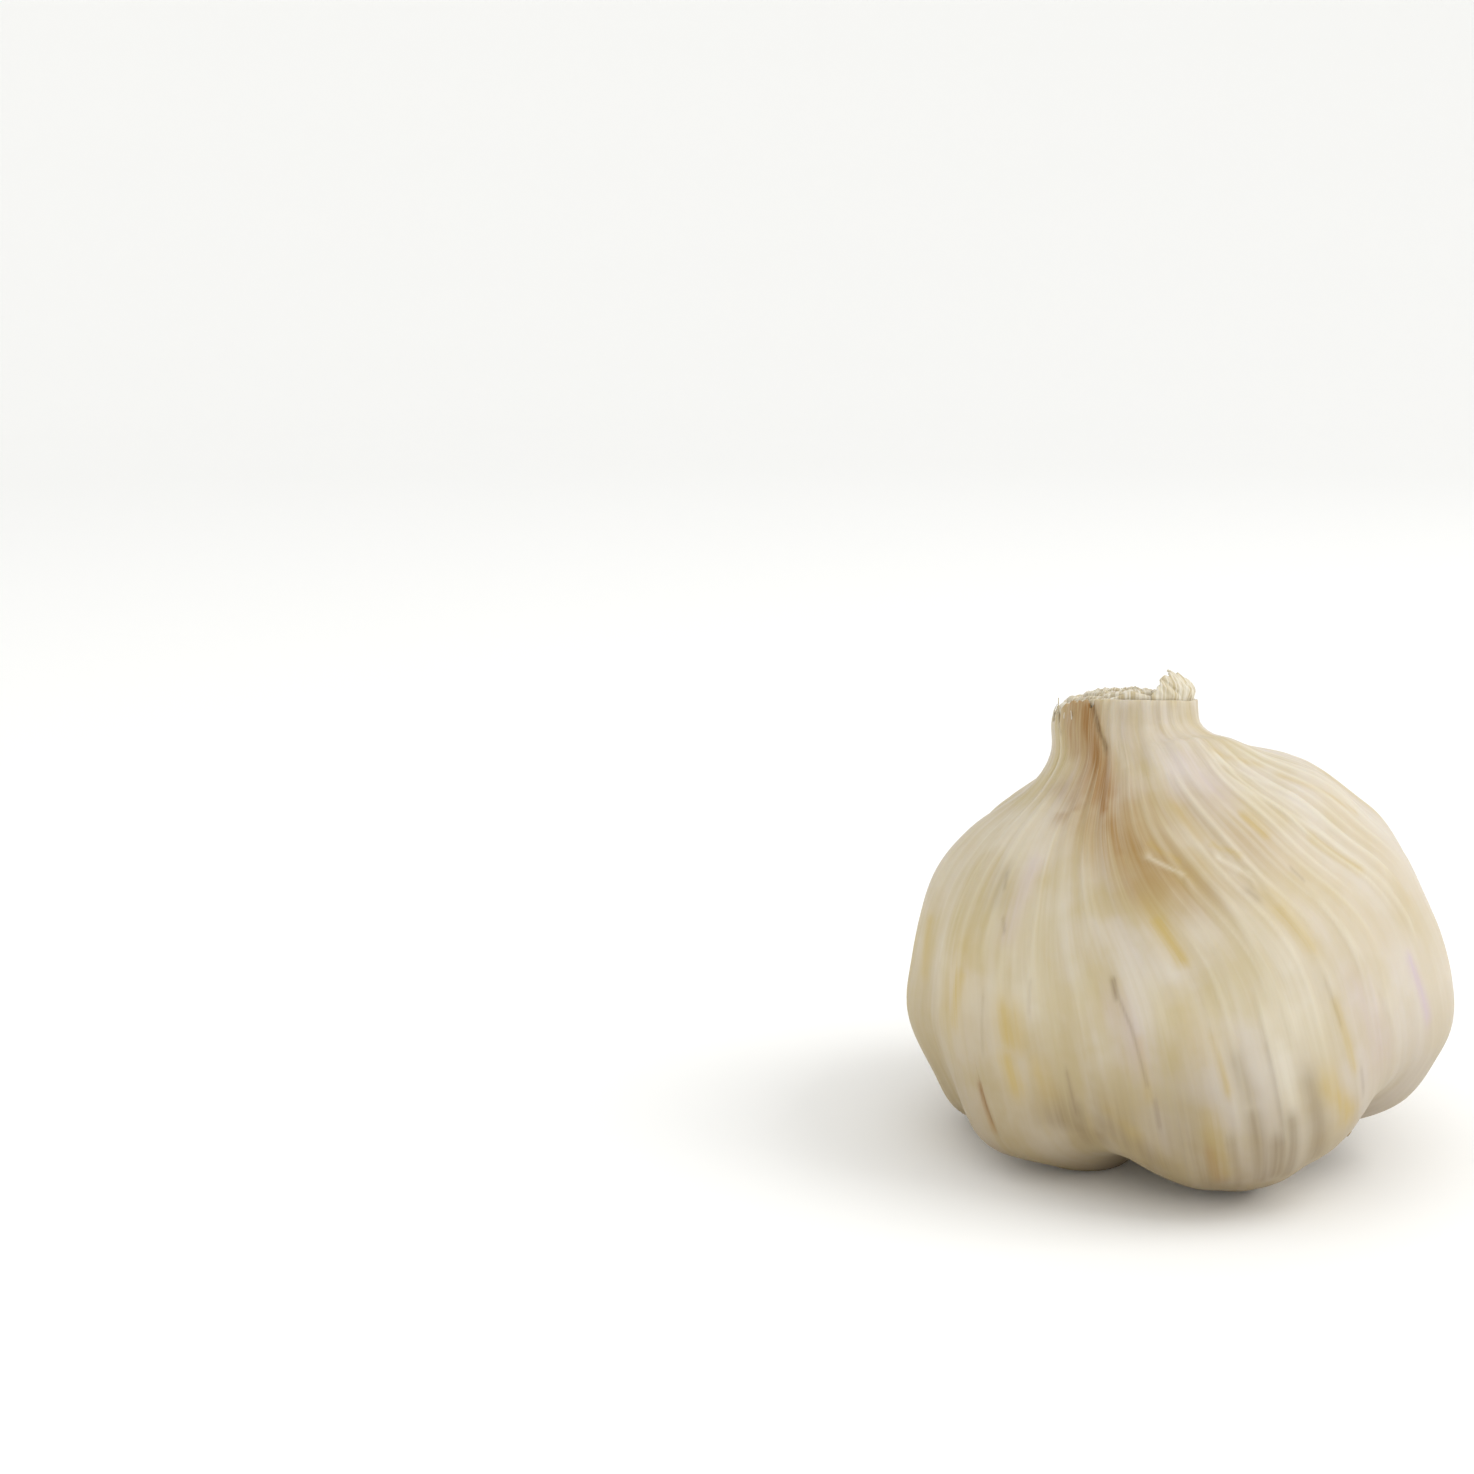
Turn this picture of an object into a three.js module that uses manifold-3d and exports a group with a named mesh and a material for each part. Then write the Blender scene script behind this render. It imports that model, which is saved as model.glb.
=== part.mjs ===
// A whole garlic bulb with its neck cut short, resting on the feet of three cloves.
// Millimetres, +Z up. The bulb is drawn on its own axis, then leans to its left
// while the neck bends back upright.
import * as THREE from "three";
import { mergeVertices } from "three/addons/utils/BufferGeometryUtils.js";
import Module from "manifold-3d";

const wasm = await Module();
wasm.setup();

// Outline of the skin from the hollow round the roots up to the cut, as [radius, height].
const outline = [
  [0, 6.4],
  [6.8, 6.2],
  [10.8, 2.8],
  [13.8, 0],
  [22, 2],
  [27.4, 6.4],
  [28.1, 16.4],
  [26.7, 24],
  [23.5, 29.4],
  [18.3, 34.6],
  [12, 38.4],
  [8.8, 40.8],
  [7.75, 43.4],
  [7.5, 46.1],
];

// Each clove starts at a valley, in degrees round the axis; the front is at -90.
// cut is how deep that valley is, bulge how far the clove stands out, foot how far it hangs.
const cloves = [
  { valley: -156, cut: 1, bulge: 0.8, foot: 0.6 },
  { valley: -113, cut: 0.45, bulge: 0.8, foot: 4 },
  { valley: -40, cut: 0.7, bulge: 0.3, foot: 2.3 },
  { valley: 6, cut: 1, bulge: 0.8, foot: 1.2 },
  { valley: 48, cut: 1, bulge: 0.7, foot: 4 },
  { valley: 88, cut: 1, bulge: 0.9, foot: 2.35 },
  { valley: 128, cut: 1, bulge: 0.6, foot: 0.3 },
  { valley: 166, cut: 1, bulge: 0.9, foot: 0.3 },
];
const valleyDepth = { body: 0.45, foot: 1.2 };

// Where this bulb is fuller or flatter than its outline: the angle and the place along the
// outline, how far that reaches each way, and by how much.
const swells = [
  { angle: 178, place: 10, wide: 50, tall: 1.1, out: -1.3 },
  { angle: 178, place: 7.3, wide: 35, tall: 0.8, out: -0.75 },
  { angle: -173, place: 5.9, wide: 30, tall: 0.45, out: 1 },
  { angle: -172, place: 5.15, wide: 14, tall: 0.35, out: -0.5 },
  { angle: -144, place: 4.8, wide: 10, tall: 0.6, out: 0.7 },
  { angle: -78, place: 3.9, wide: 11, tall: 0.9, out: -0.4 },
  { angle: -99, place: 4, wide: 11, tall: 0.8, out: 1.1 },
  { angle: -56, place: 4.5, wide: 8, tall: 0.6, out: 0.8 },
  { angle: -127, place: 3.2, wide: 9, tall: 0.7, out: 1.1 },
  { angle: -16, place: 4.7, wide: 22, tall: 0.55, out: -1.3 },
  { angle: -9, place: 6.6, wide: 20, tall: 0.5, out: -0.35 },
  { angle: 16, place: 7.7, wide: 15, tall: 0.6, out: 0.35 },
  { angle: 22, place: 8.8, wide: 20, tall: 0.4, out: -0.3 },
  { angle: -50, place: 10.8, wide: 38, tall: 1.1, out: 1.7 },
];

const { clamp, degToRad, euclideanModulo, radToDeg, smoothstep } = THREE.MathUtils;

const lean = degToRad(10.8);
const depthShare = 0.97;
const neckBend = { from: 33, to: 45, shift: -1.7, flatness: 0.12, tip: degToRad(8) };
const neckAside = { from: 39.5, to: 43.5, shift: -0.6 };
const shoulder = { full: 1.7, from: 29, top: 37, fade: 39.5, end: 44 };
const flatSpot = 0.4;
const gap = 0.4;

// Dry ridges run from the neck down over the cloves and gather into pleats at the neck.
const ridges = { count: 30, body: 0.15, pleat: 0.18, sway: 0.08, seed: 5 };
const skin = { around: 120, rows: 34, wall: 0.95, pocket: 4, ragged: 0.2 };
const sheaths = { around: 72, count: 3, thickness: 0.8, groove: 0.9, deep: 1.2, rise: 0.8 };
const sheathEdge = { ragged: 0.5, squeezed: 0.5 };
const flap = { from: -62, to: 52, inner: 5.35, thickness: 0.7, rise: 3, sunk: 1.6 };
const flapLean = { bow: 0.9, curl: -1.3 };
const flapPleats = { count: 5, height: 0.18 };
const plate = { radius: 5.9, top: 5.9, bottom: 3.6 };
const roots = { count: 32, thick: 0.5, tip: 0.32, shortest: 1.8, longest: 3.2, sunk: 0.8, seed: 23 };
const strand = { radius: 0.33, angle: -41, sway: 2 };
const strandPath = [
  [3.6, 4.4],
  [7.6, 2.9],
  [11.6, 0.9],
  [15.5, -0.4],
  [19, -0.4],
  [20.6, 0.4],
];

function randomFrom(seed) {
  let state = seed;
  return () => {
    state = (state * 16807) % 2147483647;
    return state / 2147483647;
  };
}

const ridgeRandom = randomFrom(ridges.seed);
const ridgeStrength = Array.from({ length: ridges.count }, () => 0.35 + 0.85 * ridgeRandom());

function ragged(angle, layer) {
  const slow = 0.5 * Math.cos(3 * angle + 1.7 * layer);
  const middle = 0.3 * Math.cos(8 * angle + 2.9 * layer);
  return slow + middle + 0.2 * Math.cos(17 * angle + 4.1 * layer);
}

// The clove at an angle, and the place across it from -1 to 1.
function cloveAt(angle) {
  const turn = radToDeg(angle);
  const found = cloves.map((clove, i) => {
    const next = cloves[(i + 1) % cloves.length];
    const width = euclideanModulo(next.valley - clove.valley, 360);
    const offset = euclideanModulo(turn - clove.valley, 360);
    return { clove, next, offset, across: (2 * offset) / width - 1 };
  });
  return found.reduce((a, b) => (b.offset < a.offset ? b : a));
}

const outlineCurve = new THREE.SplineCurve(outline.map(([r, h]) => new THREE.Vector2(r, h)));
const spans = outline.length - 1;

// How far the skin stands off the plain outline, and how far its foot hangs; place
// counts the outline's points.
function relief(angle, place, height) {
  const { clove, next, across } = cloveAt(angle);
  const hump = Math.cos((Math.PI / 2) * across) ** 2;
  const cut = across < 0 ? clove.cut : next.cut;
  const valley = cut * Math.abs(Math.sin((Math.PI / 2) * across)) ** 6;
  const body = smoothstep(place, 1.2, 4) * (1 - smoothstep(place, 7.5, 10.5));
  const foot = smoothstep(place, 1, 3) * (1 - smoothstep(place, 3.4, 6.5));
  const toRight = (0.5 + 0.5 * Math.cos(angle)) ** 2;
  const high = smoothstep(height, shoulder.from, shoulder.top);
  const full = high * (1 - smoothstep(height, shoulder.fade, shoulder.end));
  const turn = angle + ridges.sway * Math.sin(2 * angle + 0.5 * place);
  const nearest = euclideanModulo(Math.round((turn * ridges.count) / (2 * Math.PI)), ridges.count);
  const pleated = smoothstep(place, 8, 11);
  const ridge = ridges.body * smoothstep(place, 2.5, 5) * (1 - pleated) + ridges.pleat * pleated;
  const clovesOut = (clove.bulge * hump - valleyDepth.body * valley) * body;
  const swollen = swells.reduce((sum, swell) => {
    const aside = euclideanModulo(radToDeg(angle) - swell.angle + 180, 360) - 180;
    const along = (place - swell.place) / swell.tall;
    return sum + swell.out * Math.exp(-((aside / swell.wide) ** 2) - along ** 2);
  }, 0);
  const out = clovesOut + shoulder.full * toRight * full + swollen;
  return {
    out: out + ridge * ridgeStrength[nearest] * Math.cos(ridges.count * turn),
    hang: (clove.foot * hump - valleyDepth.foot * valley) * foot,
  };
}

// Leans a point of the upright bulb, and bends the neck back with its cut tipped to the back.
function leaned(radius, angle, height) {
  const { from, to, shift, flatness, tip } = neckBend;
  const q = clamp((height - from) / (to - from), 0, 1);
  const upright = smoothstep(height, from, to);
  const slope = Math.tan(lean);
  const carried = slope * ((to - from) * (q ** 3 - q ** 4 / 2) + Math.max(height - to, 0));
  const flat = radius * Math.cos(angle);
  const y = radius * Math.sin(angle) * (depthShare - flatness * smoothstep(height, 30, 44));
  const aside = neckAside.shift * smoothstep(height, neckAside.from, neckAside.to);
  const x = flat + shift * smoothstep(height, 8, 46) + aside + carried;
  const z = height - flat * slope * upright - y * Math.tan(tip) * upright ** 2;
  const point = new THREE.Vector3(x, y, z);
  return point.applyAxisAngle(new THREE.Vector3(0, 1, 0), -lean);
}

function closed(geometry) {
  geometry.deleteAttribute("normal");
  geometry.deleteAttribute("uv");
  return mergeVertices(geometry, 1e-4);
}

// A lathe with its rings put where place(ring, angle) says, as [radius, height].
function latheOf(rings, around, place) {
  const straight = Array.from({ length: rings }, (_, i) => new THREE.Vector2(i % (rings - 1) && 1, i));
  const geometry = new THREE.LatheGeometry(straight, around);
  const { position, uv } = geometry.attributes;
  for (let i = 0; i < position.count; i++) {
    const ring = Math.round(uv.getY(i) * (rings - 1));
    const step = Math.round(uv.getX(i) * around) % around;
    const angle = (2 * Math.PI * step) / around;
    const [radius, height] = place(ring, angle);
    const point = leaned(radius, angle, height);
    position.setXYZ(i, point.x, point.y, point.z);
  }
  return closed(geometry);
}

const rim = outline[spans][1];
const pocketRadius = outline[spans][0] - skin.wall;
const pocketFloor = rim - skin.pocket;

function skinGeometry() {
  const inside = [
    [pocketRadius, rim],
    [pocketRadius, pocketFloor],
    [0, pocketFloor],
  ];
  return latheOf(skin.rows + 1 + inside.length, skin.around, (ring, angle) => {
    const torn = skin.ragged * ragged(angle, 1);
    if (ring > skin.rows) {
      const [radius, height] = inside[ring - skin.rows - 1];
      return [radius, ring === skin.rows + 1 ? height + torn : height];
    }
    const t = outlineCurve.getUtoTmapping(ring / skin.rows);
    const { x: radius, y: height } = outlineCurve.getPoint(t);
    const along = outlineCurve.getTangent(t);
    if (!ring) return [0, height];
    const { out, hang } = relief(angle, t * spans, height);
    const lift = ring === skin.rows ? torn : 0;
    const farther = along.y * out + Math.max(0, along.y) * hang;
    return [radius + farther, height - along.x * (out + hang) + lift];
  });
}

// Dry leaf sheaths, one inside the other, that were cut off at the neck.
function sheathGeometry() {
  const { thickness, groove, deep, rise } = sheaths;
  const foot = pocketFloor + gap;
  const rings = [[0, foot, 0], [pocketRadius - gap, foot, 0]];
  let outer = pocketRadius - gap;
  for (let i = 0; i < sheaths.count; i++) {
    const inner = outer - thickness;
    const low = rim + rise - deep;
    rings.push([outer, rim + rise, i + 1], [inner, rim + rise, i + 1]);
    rings.push([inner - 0.15, low, 0], [inner - groove, low, 0]);
    outer = inner - groove;
  }
  rings.push([outer - 0.1, rim + rise, 7], [0, rim + rise, 0]);
  return latheOf(rings.length, sheaths.around, (ring, angle) => {
    const [radius, height, layer] = rings[ring];
    const inwards = radius / (pocketRadius - gap);
    const squeezed = sheathEdge.squeezed * ragged(angle, 5) * inwards * (1 - inwards);
    return [radius + squeezed, layer ? height + sheathEdge.ragged * ragged(angle, layer) : height];
  });
}

// The loose end of one sheath, which stands up at the right and leans over the cut.
function flapGeometry() {
  const geometry = new THREE.BoxGeometry(1, 1, 1, 20, 8, 1);
  const { position } = geometry.attributes;
  for (let i = 0; i < position.count; i++) {
    const across = position.getX(i) + 0.5;
    const up = position.getY(i) + 0.5;
    const through = position.getZ(i) + 0.5;
    const angle = degToRad(THREE.MathUtils.lerp(flap.from, flap.to, across));
    const crest = Math.sin(Math.PI * across ** 0.7) ** 0.6 + 0.08 * Math.cos(31 * across);
    const top = 0.5 + flap.rise * crest;
    const height = rim - flap.sunk + up * (flap.sunk + top);
    const free = Math.max(0, height - rim - 0.6) / flap.rise;
    const pleat = flapPleats.height * free * Math.cos(2 * Math.PI * flapPleats.count * across);
    const leant = flapLean.bow * Math.sin(Math.PI * Math.min(free, 1)) + flapLean.curl * free ** 2;
    const radius = flap.inner + through * flap.thickness + leant + pleat;
    const point = leaned(radius, angle, height);
    position.setXYZ(i, point.x, point.y, point.z);
  }
  return closed(geometry);
}

// The woody plate under the cloves.
function plateGeometry() {
  const { radius, top, bottom } = plate;
  const rings = [
    [0, bottom],
    [0.5, bottom + 0.1],
    [0.9, bottom + 0.6],
    [1, top - 0.6],
    [0.92, top - 0.1],
    [0, top],
  ];
  return latheOf(rings.length, 36, (ring, angle) => {
    const [share, height] = rings[ring];
    return [share * radius * (1 + 0.05 * ragged(angle, 2)), height];
  });
}

// Dry root stubs spread from the plate's underside and edge.
function rootGeometries() {
  const random = randomFrom(roots.seed);
  return Array.from({ length: roots.count }, (_, i) => {
    const share = Math.sqrt((i + 0.5) / roots.count);
    const angle = i * 2.4 + 0.3 * random();
    const length = roots.shortest + (roots.longest - roots.shortest) * random();
    const spread = 0.25 + 0.9 * share + 0.3 * (random() - 0.5);
    const bend = 0.8 * (random() - 0.5);
    const geometry = new THREE.CylinderGeometry(roots.thick, roots.tip, length, 6, 3);
    const { position } = geometry.attributes;
    const out = new THREE.Vector3(Math.sin(spread), 0, -Math.cos(spread));
    const side = new THREE.Vector3(Math.cos(spread), 0, Math.sin(spread));
    for (let k = 0; k < position.count; k++) {
      const run = length / 2 - position.getY(k);
      const point = out.clone().multiplyScalar(run - roots.sunk);
      point.addScaledVector(side, position.getX(k));
      point.y = bend * (run / length) ** 2 - position.getZ(k);
      point.x += 0.86 * plate.radius * share;
      point.z += plate.bottom + 0.2 + 0.9 * share ** 4;
      point.applyAxisAngle(new THREE.Vector3(0, 0, 1), angle);
      point.applyAxisAngle(new THREE.Vector3(0, 1, 0), -lean);
      position.setXYZ(k, point.x, point.y, point.z);
    }
    return closed(geometry);
  });
}

// One long root that runs out between two cloves.
function strandGeometry() {
  const points = strandPath.map(([radius, height], i) => {
    return leaned(radius, degToRad(strand.angle + strand.sway * (-1) ** i), height);
  });
  const extrudePath = new THREE.CatmullRomCurve3(points);
  const round = new THREE.Shape().absarc(0, 0, strand.radius, 0, 2 * Math.PI);
  const settings = { steps: 18, curveSegments: 3, bevelEnabled: false, extrudePath };
  return closed(new THREE.ExtrudeGeometry(round, settings));
}

function asSolid(geometry) {
  const vertProperties = new Float32Array(geometry.attributes.position.array);
  const triVerts = new Uint32Array(geometry.index.array);
  return new wasm.Manifold(new wasm.Mesh({ numProp: 3, vertProperties, triVerts }));
}

function fused(geometries) {
  const solids = geometries.map(asSolid);
  const { vertProperties, triVerts } = wasm.Manifold.union(solids).getMesh();
  const geometry = new THREE.BufferGeometry();
  geometry.setAttribute("position", new THREE.BufferAttribute(new Float32Array(vertProperties), 3));
  geometry.setIndex(Array.from(triVerts));
  return geometry;
}

function mesh(name, geometry, color, roughness) {
  const material = new THREE.MeshStandardMaterial({ color, roughness, metalness: 0 });
  const part = new THREE.Mesh(geometry, material);
  part.name = name;
  return part;
}

const bulb = mesh("bulb", skinGeometry(), 0xd9cdb8, 0.62);
const neckLayers = mesh("neck_layers", fused([sheathGeometry(), flapGeometry()]), 0xe3dccb, 0.8);
const rootPlate = mesh(
  "root_plate",
  fused([plateGeometry(), ...rootGeometries(), strandGeometry()]),
  0x9a7c56,
  0.9,
);

// Set the feet down: the lowest ones are worn flat where they carry the bulb.
const box = new THREE.Box3().setFromBufferAttribute(bulb.geometry.attributes.position);
const shiftX = -(box.min.x + box.max.x) / 2;
const shiftY = -(box.min.y + box.max.y) / 2;
const group = new THREE.Group();
for (const part of [bulb, neckLayers, rootPlate]) {
  const { position } = part.geometry.attributes;
  part.geometry.translate(shiftX, shiftY, -box.min.z - flatSpot);
  for (let i = 0; i < position.count; i++) {
    position.setZ(i, Math.max(0, position.getZ(i)));
  }
  part.geometry.computeVertexNormals();
  group.add(part);
}

export default group;
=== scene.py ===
import math
import bmesh
import bpy
import numpy as np
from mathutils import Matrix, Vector


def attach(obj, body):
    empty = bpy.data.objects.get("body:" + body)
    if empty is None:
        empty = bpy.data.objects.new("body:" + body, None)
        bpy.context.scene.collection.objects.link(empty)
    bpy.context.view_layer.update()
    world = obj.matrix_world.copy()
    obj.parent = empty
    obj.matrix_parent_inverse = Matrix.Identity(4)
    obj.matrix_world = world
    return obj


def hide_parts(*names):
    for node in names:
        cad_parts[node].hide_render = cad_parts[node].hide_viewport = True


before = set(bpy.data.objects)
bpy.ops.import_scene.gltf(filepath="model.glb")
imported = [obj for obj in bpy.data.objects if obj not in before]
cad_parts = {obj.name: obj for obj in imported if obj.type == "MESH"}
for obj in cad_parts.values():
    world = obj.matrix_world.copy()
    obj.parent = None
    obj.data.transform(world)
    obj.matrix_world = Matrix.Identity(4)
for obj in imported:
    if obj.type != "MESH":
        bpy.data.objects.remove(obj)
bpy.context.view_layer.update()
print("frame: packed bulb loaded")

# Lengths are in mm in the bulb's own upright frame, and inFrame puts them where the solid part has them.
# The neck's middle is the axis, angle -90 degrees faces the viewer, and "place" runs along the
# outline from 0 under the bulb to 13 at the cut. onTheFloor is how far the leaning bulb is moved
# to stand centred on the floor, as the solid part does.
onTheFloor = (3.4154, 0.5787, 3.4936)

# in mm and degrees, with the lens and the sensor as on a camera
camera = {
    "lens": 60,
    "sensor": 36,
    "place": (-1.384, -262.37, 97.279),
    "down": 11.54,
    "left": 10.183,
}


def addNode(tree, kind, inputs=None, **settings):
    node = tree.nodes.new(kind)
    for name, value in settings.items():
        setattr(node, name, value)
    for name, value in (inputs or {}).items():
        if isinstance(value, bpy.types.NodeSocket):
            tree.links.new(value, node.inputs[name])
        else:
            node.inputs[name].default_value = value
    return node


def shareOf(tree, value, low, high, least=0.0, most=1.0):
    # how far a value is from low to high, as a share from least to most
    return addNode(tree, "ShaderNodeMapRange", {
        "Value": value, "From Min": low, "From Max": high, "To Min": least, "To Max": most,
    }).outputs[0]


def times(tree, one, other, **settings):
    return addNode(tree, "ShaderNodeMath", {0: one, 1: other}, operation="MULTIPLY", **settings).outputs[0]


def mixIn(tree, under, share, tint):
    # a colour laid over what is under it
    return addNode(tree, "ShaderNodeMix", {0: share, 6: under, 7: linear(tint)}, data_type="RGBA").outputs[2]


def linear(hexColour):
    parts = [int(hexColour[i:i + 2], 16) / 255 for i in (1, 3, 5)]
    return [c / 12.92 if c <= 0.04045 else ((c + 0.055) / 1.055) ** 2.4 for c in parts] + [1]


def smoothStep(x, low, high):
    q = np.clip((x - low) / (high - low), 0, 1)
    return q * q * (3 - 2 * q)


def within(x, low, full, fade, high):
    # rises from 0 to 1 between low and full, and falls back between fade and high
    return smoothStep(x, low, full) * (1 - smoothStep(x, fade, high))


def streaks(angle, place, columns, rows, seed, top=13):
    # smooth random values on a net of columns around and rows along up to top, from -1 to 1
    net = np.random.default_rng(seed).uniform(-1, 1, (rows + 2, columns))
    x = np.degrees(angle) % 360 / 360 * columns
    y = np.clip(place / top, 0, 0.9999) * rows
    i, j = np.floor(x).astype(int), np.floor(y).astype(int)
    u, w = x - i, y - j
    u, w = u * u * (3 - 2 * u), w * w * (3 - 2 * w)
    low = net[j, i % columns] * (1 - u) + net[j, (i + 1) % columns] * u
    high = net[j + 1, i % columns] * (1 - u) + net[j + 1, (i + 1) % columns] * u
    return low * (1 - w) + high * w


def raggedness(angle, columns, seed):
    # smooth random values around one edge, from -1 to 1
    return streaks(angle, angle * 0, columns, 1, seed)


def crests(angle, place, columns, rows, seed):
    # sharp crest lines with smooth hollows between them, from -1 to 1
    return 1 - 2 * np.sqrt(np.abs(streaks(angle, place, columns, rows, seed)))


def inFrame(points):
    placed = (points + np.array(onTheFloor)) / 1000
    placed[..., 2] = np.maximum(placed[..., 2], 0)  # the feet that would sink in are flattened
    return placed


def spinTube(rows, steps, closed=(True, True), nearer=0.0):
    # a straight line with a point for each row, spun: z says the row and the angle the place around,
    # and nearer moves the columns towards the side that faces the viewer
    shape = bmesh.new()
    line = [shape.verts.new((1, 0, row)) for row in range(rows)]
    edges = [shape.edges.new(pair) for pair in zip(line, line[1:])]
    bmesh.ops.spin(
        shape, geom=line + edges, cent=(0, 0, 0), axis=(0, 0, 1),
        angle=2 * math.pi, steps=steps, use_merge=True,
    )
    bmesh.ops.remove_doubles(shape, verts=shape.verts, dist=0.0001)
    for row, close in zip((0, rows - 1), closed):
        if close:
            ring = [v for v in shape.verts if round(v.co.z) == row]
            bmesh.ops.pointmerge(shape, verts=ring, merge_co=(0, 0, row))
    mesh = bpy.data.meshes.new("tube")
    shape.to_mesh(mesh)
    shape.free()
    spots = readSpots(mesh)
    angle = np.arctan2(spots[:, 1], spots[:, 0])
    return mesh, np.rint(spots[:, 2]).astype(int), angle - nearer * np.cos(angle)


def readSpots(mesh):
    flat = np.empty(len(mesh.vertices) * 3)
    mesh.vertices.foreach_get("co", flat)
    return flat.reshape(-1, 3)


def setSpots(mesh, spots):
    mesh.vertices.foreach_set("co", np.ascontiguousarray(spots, float).ravel())
    shape = bmesh.new()
    shape.from_mesh(mesh)
    bmesh.ops.recalc_face_normals(shape, faces=shape.faces)
    for face in shape.faces:
        face.smooth = True
    shape.to_mesh(mesh)
    shape.free()


def addVeins(mesh, angle, along):
    # what the materials read: the direction around and the place along, without a seam
    veins = mesh.attributes.new("veins", "FLOAT_VECTOR", "POINT")
    spots = np.stack([np.cos(angle), np.sin(angle), along], -1)
    veins.data.foreach_set("vector", spots.astype(np.float32).ravel())


def addTints(mesh, name, tints):
    layer = mesh.attributes.new(name, "FLOAT_COLOR", "POINT")
    layer.data.foreach_set("color", np.stack(tints, -1).astype(np.float32).ravel())


def addPiece(name, mesh, material):
    mesh.name = name
    mesh.materials.append(material)
    piece = bpy.data.objects.new(name, mesh)
    bpy.context.scene.collection.objects.link(piece)
    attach(piece, "root")
    print(f"{name}: {sum(len(face.vertices) - 2 for face in mesh.polygons)} triangles")
    return piece


# the papery skin: the bulb's main shape, as in the solid part, with softer valleys at the front
skinShape = {
    "outline": [
        (0, 6.4), (6.8, 6.2), (10.8, 2.8), (13.8, 0), (22, 2), (27.4, 6.4), (28.1, 16.4),
        (26.7, 24), (23.5, 29.4), (18.3, 34.6), (12, 38.4), (8.8, 40.8), (7.75, 43.4), (7.5, 46.1),
    ],
    "valleys": [-156, -113, -40, 6, 48, 88, 128, 166],
    "cuts": [0.7, 0.45, 0.35, 1, 1, 1, 1, 1],
    "bulges": [0.8, 0.8, 0.3, 0.8, 0.7, 0.9, 0.6, 0.9],
    "feet": [0.6, 4, 2.3, 1.2, 4, 2.35, 0.3, 0.3],
    "swells": [  # angle, place, width in degrees, height in places and how far out
        (178, 10, 50, 1.1, -1.3), (178, 7.3, 35, 0.8, -0.75), (-173, 5.9, 30, 0.45, 1),
        (-172, 5.15, 14, 0.35, -0.5), (-144, 4.8, 10, 0.6, 0.7), (-78, 3.9, 11, 0.9, -0.4),
        (-99, 4, 11, 0.8, 1.1), (-56, 4.5, 8, 0.6, 0.8), (-127, 3.2, 9, 0.7, 1.1),
        (-16, 4.7, 22, 0.55, -1.3), (-9, 6.6, 20, 0.5, -0.35), (16, 7.7, 15, 0.6, 0.35),
        (22, 8.8, 20, 0.4, -0.3), (-50, 10.8, 38, 1.1, 1.7),
    ],
    "valleyBody": 0.45,
    "valleyFoot": 1.2,
    "depthShare": 0.97,
    "lean": 10.8,
    "bendFrom": 33,
    "bendTo": 45,
    "neckShift": -1.7,
    "neckShiftOver": (8, 46),  # heights in mm from which and up to which it acts
    "neckAside": -0.6,
    "neckAsideOver": (39.5, 43.5),
    "neckFlatness": 0.12,
    "neckFlatOver": (30, 44),
    "tip": 8,
    "bodyOver": (1.2, 4, 7.5, 10.5),  # places between which the cloves stand out
    "footOver": (1, 3, 3.4, 6.5),
    "shoulderFull": 1.7,
    "shoulderOver": (29, 37, 39.5, 44),
    "ridges": 30,
    "ridgeSeed": 5,
}

# what the solid leaves out or has coarser: ribs, folds, lumps and the torn edge at the cut
skinDetail = {
    "around": 600,
    "rows": 156,
    "closerRows": (7.2, 7.8, 8.8, 9.4),
    "rimRows": 3,
    "insideRows": 4,
    "nearer": 0.33,
    "wall": 0.34,
    "pocketPlace": 11.7,
    "pocketNarrower": 0.4,
    "shownOver": (2.5, 4.5),  # places
    "pleatedOver": (8, 11),
    "shoulderOver": (6.8, 8.8, 10.6, 11.6),
    "ribBody": 0.05,
    "ribNeck": 0.09,
    "shoulderPleats": 0.05,
    "crests": [(84, 3, 0.04, 11), (190, 5, 0.012, 12)],  # columns, rows, height, seed
    "shoulderCrests": (72, 2, 0.12, 16),
    "lumps": [(15, 6, 0.14, 13), (34, 12, 0.06, 14)],
    "ribSway": 0.08,
    "ribTint": 5,  # how pale a rib line is for each mm of its height
    "ribSwing": 16,
    "swingTurns": (-124, -86, -44, 8),  # degrees
    "swingOver": (6.2, 9.8),
    "mmPerPlace": 6.2,
    "mmPerPlaceAtCut": 2.7,
    "tornFrom": 10.8,
}
cutPlace = len(skinShape["outline"]) - 1

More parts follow.
